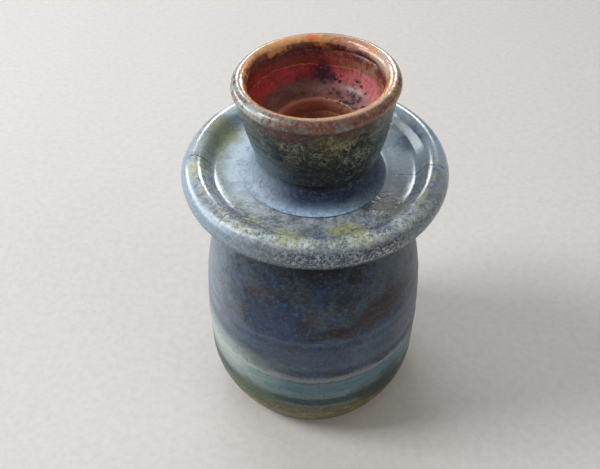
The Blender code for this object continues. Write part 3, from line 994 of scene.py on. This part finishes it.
def dish_slope():
    """From the bead's inner side down a short slope, round a cove, then a long shallow sweep to the floor."""
    bead_foot = arc((ROLL_CORE, ROLL_HEIGHT), ROLL, BEAD_FOOT_ANGLE, BEAD_FOOT_ANGLE, 1)[0]
    steepness = BEAD_FOOT_ANGLE - 90
    sweep = arc((0, DISH_RADIUS), (DISH_RADIUS, DISH_RADIUS), -90 + DISH_TILT, -90, 8)
    cove = arc((0, 0), (COVE_RADIUS, COVE_RADIUS), -90 + steepness, -90 + DISH_TILT, 8)
    across = sweep[0][0] - cove[-1][0]
    up = sweep[0][1] - cove[-1][1]
    bend = [(radius + across, height + up) for radius, height in cove] + sweep[1:]
    slope_run = (bead_foot[1] - DISH_FLOOR - bend[0][1]) / math.tan(math.radians(steepness))
    centre_radius = bead_foot[0] - slope_run - bend[0][0]
    return [(centre_radius + radius, DISH_FLOOR + height) for radius, height in bend]


BORE = SPIGOT + 0.2
flange_outline = [(BORE, SHOULDER_TOP), (SHOULDER_EDGE, SHOULDER_TOP), (28.0, SHOULDER_TOP + 0.4)]
flange_outline += [(31.0, SHOULDER_TOP + 0.9)]
flange_outline += arc((ROLL_CORE, ROLL_HEIGHT), ROLL, -95, BEAD_FOOT_ANGLE, 40)
flange_outline += dish_slope()
print(f"the dish's floor ends at radius {flange_outline[-1][0]:.1f} mm, the coil at {COIL:.1f} mm")
flange_outline += [(COIL + 0.3, DISH_FLOOR)]
flange_outline += [(COIL + 0.05, DISH_FLOOR - 0.05), (COIL - 0.3, DISH_FLOOR), (BORE, DISH_FLOOR)]
flange = throw("dished_flange", flange_outline)
lean(flange, "X", -FLANGE_LEAN, DISH_FLOOR, 8, lambda radius, height: radius > 31)
lean(flange, "Y", 0.7 * FLANGE_LEAN, DISH_FLOOR, 8, lambda radius, height: radius > 31)
finish_piece(flange, "flange", [FLANGE_GLAZE], wobble=0.7)

# %% [markdown]
# ## Coil, neck and lip
# A coil of clay is pressed into the corner between neck and dish, and its edge is thumbed out thin. The
# neck flares above it, and its thick inside wall funnels down to the throat. The lip is a rolled bead on
# the neck's top edge. Neck and lip lean together, so the joint between them stays shut. Out of sight,
# the leaning neck cuts about a millimetre into the spigot, and the coil's top edge into the neck.

# %% Coil
WAIST = 17.4
LIP_LEAN = 2.2
COVE_TOP = (WAIST + 0.02, COIL_TOP + 2.4)
coil_outline = [(WAIST + 0.2, DISH_FLOOR + 0.1), (COIL - 0.4, DISH_FLOOR + 0.02), (COIL, DISH_FLOOR + 0.05)]
coil_outline += [(COIL - 0.3, DISH_FLOOR + 0.14), (COIL - 0.8, DISH_FLOOR + 0.28)]
cove_start = coil_outline[-1]
for i in range(1, 15):
    part = i / 14
    rise = 0.35 * part + 0.65 * part**3
    radius = cove_start[0] + (COVE_TOP[0] - cove_start[0]) * part
    coil_outline.append((radius, cove_start[1] + (COVE_TOP[1] - cove_start[1]) * rise))
coil = throw("neck_foot_coil", coil_outline)
finish_piece(coil, "neck_coil", [NECK_GLAZE], soft=0.08)

# %% Neck
NECK_TOP = LIP_FOOT - SLIP / 2
NECK_TOP_RADIUS = 22.65
MOUTH = 19.62
THROAT_EDGE = 110.8


def neck_radius(height):
    rise = (height - COIL_TOP) / (NECK_TOP - COIL_TOP)
    tooling = 0.05 * math.sin(height * 2.1) + 0.03 * math.sin(height * 5.3)
    return WAIST + (NECK_TOP_RADIUS - WAIST) * max(0, rise) ** 0.7 + tooling * min(1, 8 * (1 - rise))


neck_outline = [(SPIGOT + 0.2, DISH_FLOOR + 0.1), (WAIST, DISH_FLOOR + 0.1)]
neck_outline += [(neck_radius(h), h) for h in steps_between(COIL_TOP, NECK_TOP, 0.5)]
neck_outline += [(21.3, NECK_TOP), (21.3, 123.8), (20.3, 123.8), (20.3, NECK_TOP), (MOUTH, NECK_TOP)]
neck_outline += [(19.3, 121.6), (19.05, 120.4), (18.8, 119.0), (18.5, 117.4), (18.1, 115.8), (17.6, 114.4)]
neck_outline += [(17.0, 113.4), (16.2, 112.6), (15.2, 112.0), (14.0, 111.6), (12.8, 111.3)]
neck_outline += arc((THROAT + 1.0, THROAT_EDGE - 0.6), (1.0, 1.0), 80, 180, 5)
neck_outline += [(THROAT, SPIGOT_TOP), (SPIGOT + 0.2, SPIGOT_TOP)]
neck = throw("flared_neck", neck_outline)
lean(neck, "Y", LIP_LEAN, LIP_FOOT, 13, lambda radius, height: height > 122)
finish_piece(neck, "neck", [NECK_GLAZE, CUP_GLAZE], soft=0.03)
CUP_WALL = 1.2
coat_faces(
    neck, 1, lambda radius, height, up: height > SPIGOT_TOP + 0.1 and radius < neck_radius(height) - CUP_WALL
)

# %% Lip
TUBE = 2.2
LIP_CORE = (LIP - TUBE, LIP_TOP - TUBE)
lip_outline = [(NECK_TOP_RADIUS, NECK_TOP)]
lip_outline += arc(LIP_CORE, (TUBE, TUBE), -42, 222, 36)
lip_outline += [(MOUTH, NECK_TOP), (20.1, NECK_TOP), (20.1, 124.0), (21.5, 124.0), (21.5, NECK_TOP)]
lip = throw("rolled_lip", lip_outline)
lean(lip, "Y", LIP_LEAN, LIP_FOOT, 0, lambda radius, height: True)
finish_piece(lip, "lip_coil", [LIP_GLAZE], soft=0.03)

# %% [markdown]
# ## Table, daylight and camera
# The pot stands on a plain pale table. Two window panes behind it and a long low window at the left show
# only as glints, on the dish, the rim and the lip. The light itself comes from the sky behind, from a
# softer light at the left, which throws the shadow to the right, and from a warm wall that fills that
# shadow. The camera looks down at about 45 degrees from close by, so the lens is only a little long.

# %% Table
clear_selection()
bpy.ops.mesh.primitive_plane_add(size=4, location=(0, 0, 0))
table = bpy.context.object
table.name = "table_top"
bpy.ops.object.mode_set(mode="EDIT")
bpy.ops.mesh.subdivide(number_cuts=3)
bpy.ops.object.mode_set(mode="OBJECT")
paper = Recipe("table_paper", (231, 229, 228))
fibres = paper.cloudy(3, 4, 0.7)
paper.lay((219, 216, 214), paper.fade(fibres, 0.4, 0.65), 0.5)
table.data.materials.append(paper.fire(0.85, paper.relief(fibres, 0.15)))


# %% Lights
def soft_light(name, place, aim, size, power, colour=(1, 1, 1)):
    lamp = bpy.data.lights.new(name, "AREA")
    lamp.shape = "RECTANGLE"
    lamp.size, lamp.size_y = size
    lamp.energy = power
    lamp.color = colour
    holder = bpy.data.objects.new(name, lamp)
    holder.location = place
    from_aim = holder.location - type(holder.location)(aim)
    holder.rotation_euler = from_aim.to_track_quat("Z", "Y").to_euler()
    bpy.context.scene.collection.objects.link(holder)
    return holder


POT_TOP = (0, 0, 0.09)
GLASS = (0.96, 0.98, 1.0)
for name, place, size, power in (
    ("left_pane_glint", (-0.25, 0.92, 0.555), (0.24, 0.29), 3.6),
    ("right_pane_glint", (0.25, 0.92, 0.555), (0.24, 0.29), 3.6),
    ("far_window_glint", (-0.92, 0.2, 0.36), (1.1, 0.34), 10.0),
):
    soft_light(name, place, POT_TOP, size, power, GLASS).visible_diffuse = False
sky = soft_light("sky_panel", (-0.24, 0.6, 0.86), POT_TOP, (0.65, 0.65), 3.0, GLASS)
sky.visible_glossy = False
soft_light("side_light", (-0.8, -0.02, 0.83), POT_TOP, (0.36, 0.42), 6.8, (1.0, 0.99, 0.975))
fill = soft_light("room_fill", (0.75, -0.35, 0.5), POT_TOP, (0.5, 0.5), 1.2, (1.0, 0.86, 0.68))
fill.visible_glossy = False
world = bpy.data.worlds.new("room")
world.use_nodes = True
tree = world.node_tree
direction = tree.nodes.new("ShaderNodeTexCoord").outputs["Generated"]
split = tree.nodes.new("ShaderNodeSeparateXYZ")
climb = tree.nodes.new("ShaderNodeMapRange")
tree.links.new(direction, split.inputs[0])
tree.links.new(split.outputs["Z"], climb.inputs["Value"])
climb.inputs["To Min"].default_value = 0.12
climb.inputs["To Max"].default_value = 0.33
tree.links.new(climb.outputs[0], tree.nodes["Background"].inputs["Strength"])
tree.nodes["Background"].inputs["Color"].default_value = (1.0, 0.99, 0.975, 1)
bpy.context.scene.world = world

# %% Camera
PITCH = 44.9
LENS = 42.0
eye = bpy.data.cameras.new("eye")
eye.lens = LENS
eye.sensor_width = 36.0
eye.clip_start = 0.01
camera = bpy.data.objects.new("eye", eye)
camera.location = (-0.0045, -0.1642, 0.2291)
camera.rotation_euler = (math.radians(90 - PITCH), 0, 0)
bpy.context.scene.collection.objects.link(camera)
bpy.context.scene.camera = camera
bpy.context.scene.view_settings.view_transform = "Standard"
